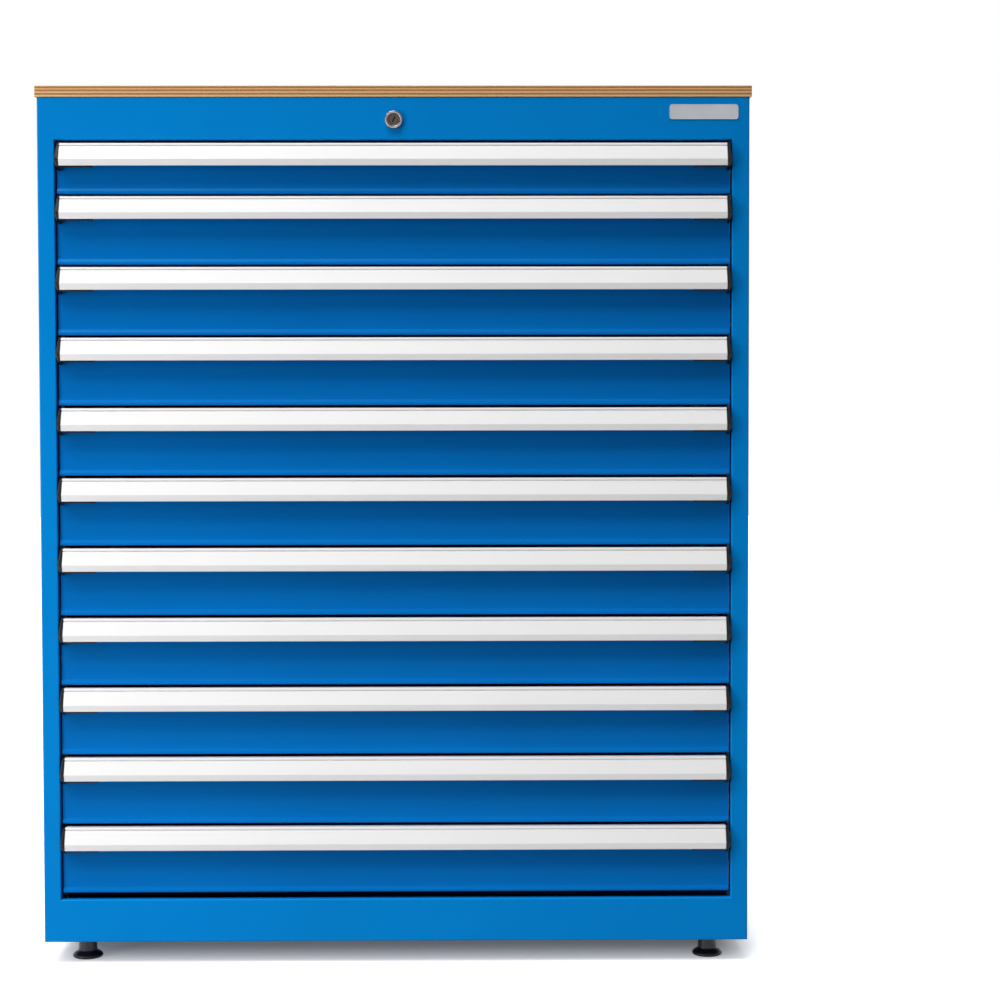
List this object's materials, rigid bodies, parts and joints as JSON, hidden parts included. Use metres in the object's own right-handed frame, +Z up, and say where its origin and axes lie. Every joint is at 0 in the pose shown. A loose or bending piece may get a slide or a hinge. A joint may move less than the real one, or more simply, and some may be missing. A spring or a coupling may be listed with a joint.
{
  "type": "tool cabinet",
  "caption": "Tall steel tool cabinet with full-width full-extension drawers, aluminium handle strips, a cam lock, levelling feet and a multiplex worktop.",
  "frame": {"origin": "on the floor, in the middle of the box that holds the cabinet", "axes": "+Z up, +X to the right of someone who faces the drawers, the drawers open towards -Y"},
  "size_m": [1.017, 0.7484, 1.256],
  "materials": {
    "beech_board": "clear satin lacquer",
    "casing_paint": "fine-textured powder coat",
    "drawer_paint": "fine-textured powder coat",
    "anodised_aluminium": "satin anodised",
    "cap_plastic": "satin moulded",
    "zinc_plated_steel": "zinc plated",
    "nickel_plate": "nickel plated",
    "lock_brass": "nickel plated brass, dulled",
    "silver_plate": "brushed",
    "foot_plastic": "moulded"
  },
  "bodies": {
    "cabinet": {"worktop": "beech_board", "top_panel": "casing_paint", "bottom_panel": "casing_paint", "left_side_panel": "casing_paint", "right_side_panel": "casing_paint", "back_panel": "casing_paint", "runner_frame": "zinc_plated_steel", "lock_housing": "nickel_plate", "badge_plate": "silver_plate", "fasteners": "zinc_plated_steel"},
    "drawer_01": {"drawer_01_tray": "drawer_paint", "drawer_01_handle": "anodised_aluminium", "drawer_01_end_caps": "cap_plastic"},
    "drawer_01_runners": {"drawer_01_carriage": "zinc_plated_steel"},
    "drawer_02": {"drawer_02_tray": "drawer_paint", "drawer_02_handle": "anodised_aluminium", "drawer_02_end_caps": "cap_plastic"},
    "drawer_02_runners": {"drawer_02_carriage": "zinc_plated_steel"},
    "drawer_03": {"drawer_03_tray": "drawer_paint", "drawer_03_handle": "anodised_aluminium", "drawer_03_end_caps": "cap_plastic"},
    "drawer_03_runners": {"drawer_03_carriage": "zinc_plated_steel"},
    "drawer_04": {"drawer_04_tray": "drawer_paint", "drawer_04_handle": "anodised_aluminium", "drawer_04_end_caps": "cap_plastic"},
    "drawer_04_runners": {"drawer_04_carriage": "zinc_plated_steel"},
    "drawer_05": {"drawer_05_tray": "drawer_paint", "drawer_05_handle": "anodised_aluminium", "drawer_05_end_caps": "cap_plastic"},
    "drawer_05_runners": {"drawer_05_carriage": "zinc_plated_steel"},
    "drawer_06": {"drawer_06_tray": "drawer_paint", "drawer_06_handle": "anodised_aluminium", "drawer_06_end_caps": "cap_plastic"},
    "drawer_06_runners": {"drawer_06_carriage": "zinc_plated_steel"},
    "drawer_07": {"drawer_07_tray": "drawer_paint", "drawer_07_handle": "anodised_aluminium", "drawer_07_end_caps": "cap_plastic"},
    "drawer_07_runners": {"drawer_07_carriage": "zinc_plated_steel"},
    "drawer_08": {"drawer_08_tray": "drawer_paint", "drawer_08_handle": "anodised_aluminium", "drawer_08_end_caps": "cap_plastic"},
    "drawer_08_runners": {"drawer_08_carriage": "zinc_plated_steel"},
    "drawer_09": {"drawer_09_tray": "drawer_paint", "drawer_09_handle": "anodised_aluminium", "drawer_09_end_caps": "cap_plastic"},
    "drawer_09_runners": {"drawer_09_carriage": "zinc_plated_steel"},
    "drawer_10": {"drawer_10_tray": "drawer_paint", "drawer_10_handle": "anodised_aluminium", "drawer_10_end_caps": "cap_plastic"},
    "drawer_10_runners": {"drawer_10_carriage": "zinc_plated_steel"},
    "drawer_11": {"drawer_11_tray": "drawer_paint", "drawer_11_handle": "anodised_aluminium", "drawer_11_end_caps": "cap_plastic"},
    "drawer_11_runners": {"drawer_11_carriage": "zinc_plated_steel"},
    "lock_key_plug": {"lock_plug": "lock_brass"},
    "lock_slide_bar": {"lock_bar": "zinc_plated_steel"},
    "levelling_foot_front_left": {"foot_front_left": "foot_plastic"},
    "levelling_foot_front_right": {"foot_front_right": "foot_plastic"},
    "levelling_foot_rear_left": {"foot_rear_left": "foot_plastic"},
    "levelling_foot_rear_right": {"foot_rear_right": "foot_plastic"}
  },
  "joints": [
    {"name": "drawer_01_slide", "type": "slide", "parent": "cabinet", "child": "drawer_01", "axis": [0, -1, 0], "range_m": [0, 0.6]},
    {"name": "drawer_01_runner_slide", "type": "slide", "parent": "cabinet", "child": "drawer_01_runners", "axis": [0, -1, 0], "range_m": [0, 0.3]},
    {"name": "drawer_02_slide", "type": "slide", "parent": "cabinet", "child": "drawer_02", "axis": [0, -1, 0], "range_m": [0, 0.6]},
    {"name": "drawer_02_runner_slide", "type": "slide", "parent": "cabinet", "child": "drawer_02_runners", "axis": [0, -1, 0], "range_m": [0, 0.3]},
    {"name": "drawer_03_slide", "type": "slide", "parent": "cabinet", "child": "drawer_03", "axis": [0, -1, 0], "range_m": [0, 0.6]},
    {"name": "drawer_03_runner_slide", "type": "slide", "parent": "cabinet", "child": "drawer_03_runners", "axis": [0, -1, 0], "range_m": [0, 0.3]},
    {"name": "drawer_04_slide", "type": "slide", "parent": "cabinet", "child": "drawer_04", "axis": [0, -1, 0], "range_m": [0, 0.6]},
    {"name": "drawer_04_runner_slide", "type": "slide", "parent": "cabinet", "child": "drawer_04_runners", "axis": [0, -1, 0], "range_m": [0, 0.3]},
    {"name": "drawer_05_slide", "type": "slide", "parent": "cabinet", "child": "drawer_05", "axis": [0, -1, 0], "range_m": [0, 0.6]},
    {"name": "drawer_05_runner_slide", "type": "slide", "parent": "cabinet", "child": "drawer_05_runners", "axis": [0, -1, 0], "range_m": [0, 0.3]},
    {"name": "drawer_06_slide", "type": "slide", "parent": "cabinet", "child": "drawer_06", "axis": [0, -1, 0], "range_m": [0, 0.6]},
    {"name": "drawer_06_runner_slide", "type": "slide", "parent": "cabinet", "child": "drawer_06_runners", "axis": [0, -1, 0], "range_m": [0, 0.3]},
    {"name": "drawer_07_slide", "type": "slide", "parent": "cabinet", "child": "drawer_07", "axis": [0, -1, 0], "range_m": [0, 0.6]},
    {"name": "drawer_07_runner_slide", "type": "slide", "parent": "cabinet", "child": "drawer_07_runners", "axis": [0, -1, 0], "range_m": [0, 0.3]},
    {"name": "drawer_08_slide", "type": "slide", "parent": "cabinet", "child": "drawer_08", "axis": [0, -1, 0], "range_m": [0, 0.6]},
    {"name": "drawer_08_runner_slide", "type": "slide", "parent": "cabinet", "child": "drawer_08_runners", "axis": [0, -1, 0], "range_m": [0, 0.3]},
    {"name": "drawer_09_slide", "type": "slide", "parent": "cabinet", "child": "drawer_09", "axis": [0, -1, 0], "range_m": [0, 0.6]},
    {"name": "drawer_09_runner_slide", "type": "slide", "parent": "cabinet", "child": "drawer_09_runners", "axis": [0, -1, 0], "range_m": [0, 0.3]},
    {"name": "drawer_10_slide", "type": "slide", "parent": "cabinet", "child": "drawer_10", "axis": [0, -1, 0], "range_m": [0, 0.6]},
    {"name": "drawer_10_runner_slide", "type": "slide", "parent": "cabinet", "child": "drawer_10_runners", "axis": [0, -1, 0], "range_m": [0, 0.3]},
    {"name": "drawer_11_slide", "type": "slide", "parent": "cabinet", "child": "drawer_11", "axis": [0, -1, 0], "range_m": [0, 0.6]},
    {"name": "drawer_11_runner_slide", "type": "slide", "parent": "cabinet", "child": "drawer_11_runners", "axis": [0, -1, 0], "range_m": [0, 0.3]},
    {"name": "lock_turn", "type": "hinge", "parent": "cabinet", "child": "lock_key_plug", "pos_m": [0, -0.36075, 1.2076], "axis": [0, 1, 0], "range_deg": [0, 90]},
    {"name": "lock_bar_slide", "type": "slide", "parent": "cabinet", "child": "lock_slide_bar", "axis": [0, 0, -1], "range_m": [0, 0.008]},
    {"name": "foot_front_left_height", "type": "slide", "parent": "cabinet", "child": "levelling_foot_front_left", "axis": [0, 0, -1], "range_m": [0, 0.025]},
    {"name": "foot_front_right_height", "type": "slide", "parent": "cabinet", "child": "levelling_foot_front_right", "axis": [0, 0, -1], "range_m": [0, 0.025]},
    {"name": "foot_rear_left_height", "type": "slide", "parent": "cabinet", "child": "levelling_foot_rear_left", "axis": [0, 0, -1], "range_m": [0, 0.025]},
    {"name": "foot_rear_right_height", "type": "slide", "parent": "cabinet", "child": "levelling_foot_rear_right", "axis": [0, 0, -1], "range_m": [0, 0.025]}
  ],
  "couplings": [
    {"joint": "drawer_01_runner_slide", "follows": "drawer_01_slide", "ratio": 0.5},
    {"joint": "drawer_02_runner_slide", "follows": "drawer_02_slide", "ratio": 0.5},
    {"joint": "drawer_03_runner_slide", "follows": "drawer_03_slide", "ratio": 0.5},
    {"joint": "drawer_04_runner_slide", "follows": "drawer_04_slide", "ratio": 0.5},
    {"joint": "drawer_05_runner_slide", "follows": "drawer_05_slide", "ratio": 0.5},
    {"joint": "drawer_06_runner_slide", "follows": "drawer_06_slide", "ratio": 0.5},
    {"joint": "drawer_07_runner_slide", "follows": "drawer_07_slide", "ratio": 0.5},
    {"joint": "drawer_08_runner_slide", "follows": "drawer_08_slide", "ratio": 0.5},
    {"joint": "drawer_09_runner_slide", "follows": "drawer_09_slide", "ratio": 0.5},
    {"joint": "drawer_10_runner_slide", "follows": "drawer_10_slide", "ratio": 0.5},
    {"joint": "drawer_11_runner_slide", "follows": "drawer_11_slide", "ratio": 0.5},
    {"joint": "lock_turn", "follows": "lock_bar_slide", "rad_per_m": 196.35}
  ]
}
